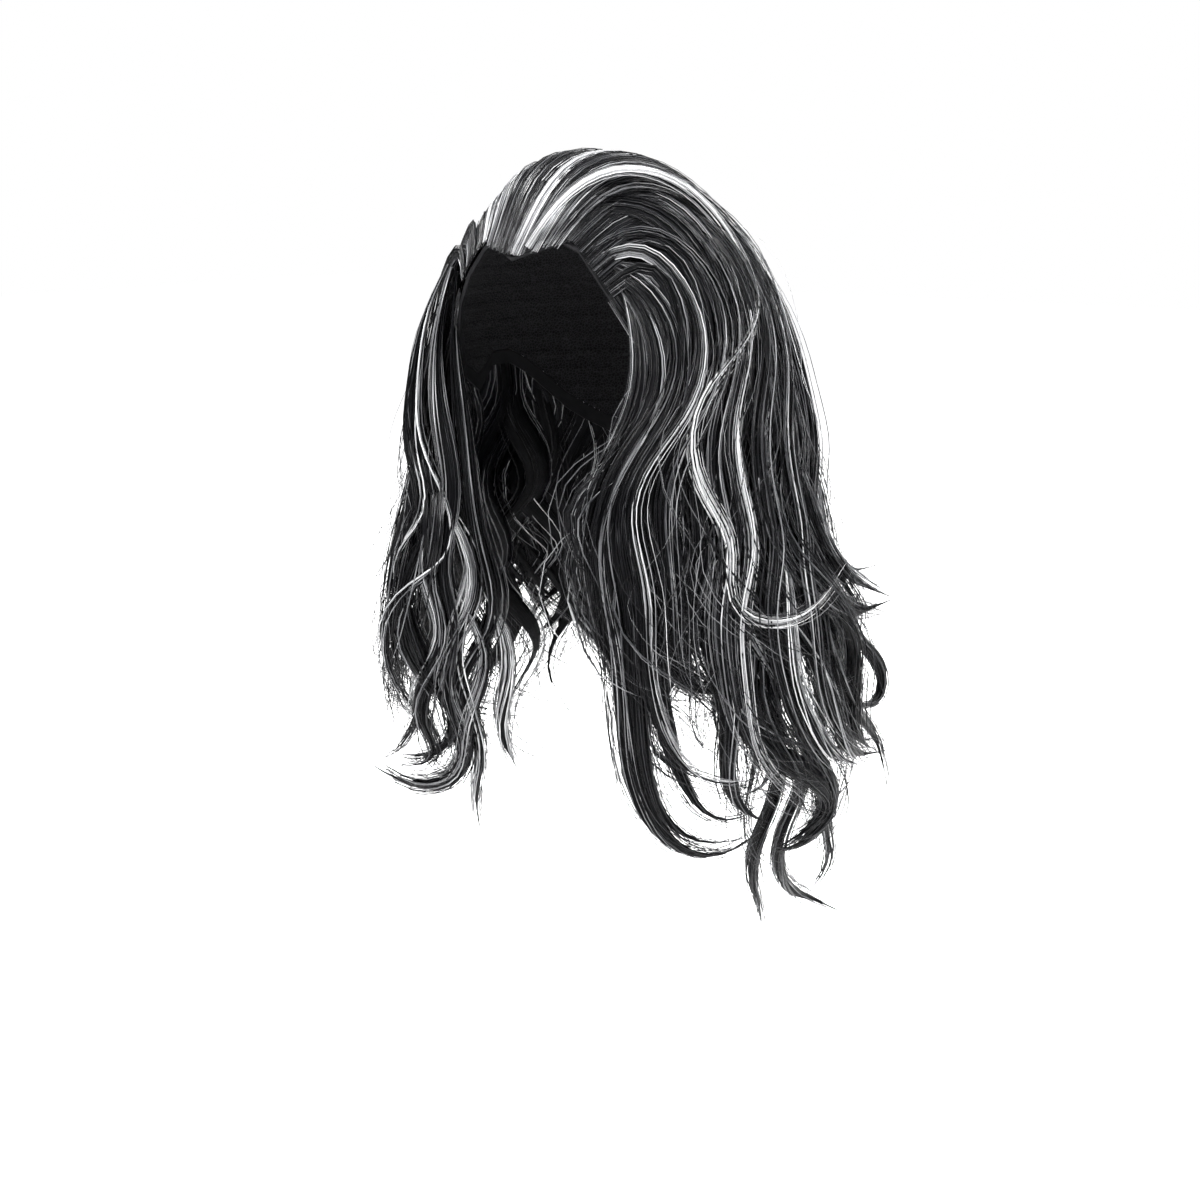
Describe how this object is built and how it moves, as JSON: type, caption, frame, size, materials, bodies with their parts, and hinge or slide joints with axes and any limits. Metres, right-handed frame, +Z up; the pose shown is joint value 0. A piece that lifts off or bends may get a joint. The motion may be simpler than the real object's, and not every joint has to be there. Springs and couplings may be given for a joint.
{
  "type": "long wavy wig",
  "caption": "Long wavy wig on a soft fitted cap, swept back from an M-shaped hairline, with layered black and silver falls that flip out at their ends.",
  "frame": {"origin": "inner top of the cap, where the crown of the head meets it", "axes": "+Z up, the face opening looks to -Y, and the wearer's left is +X"},
  "size_m": [0.3562, 0.2811, 0.4785],
  "materials": {
    "cap_net": "matt stretch net",
    "edge_tape": "matt woven tape",
    "hair_streaked": "glossy black fibre with silver and white streaks"
  },
  "bodies": {
    "root": {"cap": "cap_net", "edge_band": "edge_tape", "top_hair": "hair_streaked", "fall_left_temple": "hair_streaked", "fall_left_side": "hair_streaked", "fall_left_back": "hair_streaked", "fall_back": "hair_streaked", "fall_right_back": "hair_streaked", "fall_right_side": "hair_streaked", "fall_right_temple": "hair_streaked"}
  },
  "joints": []
}
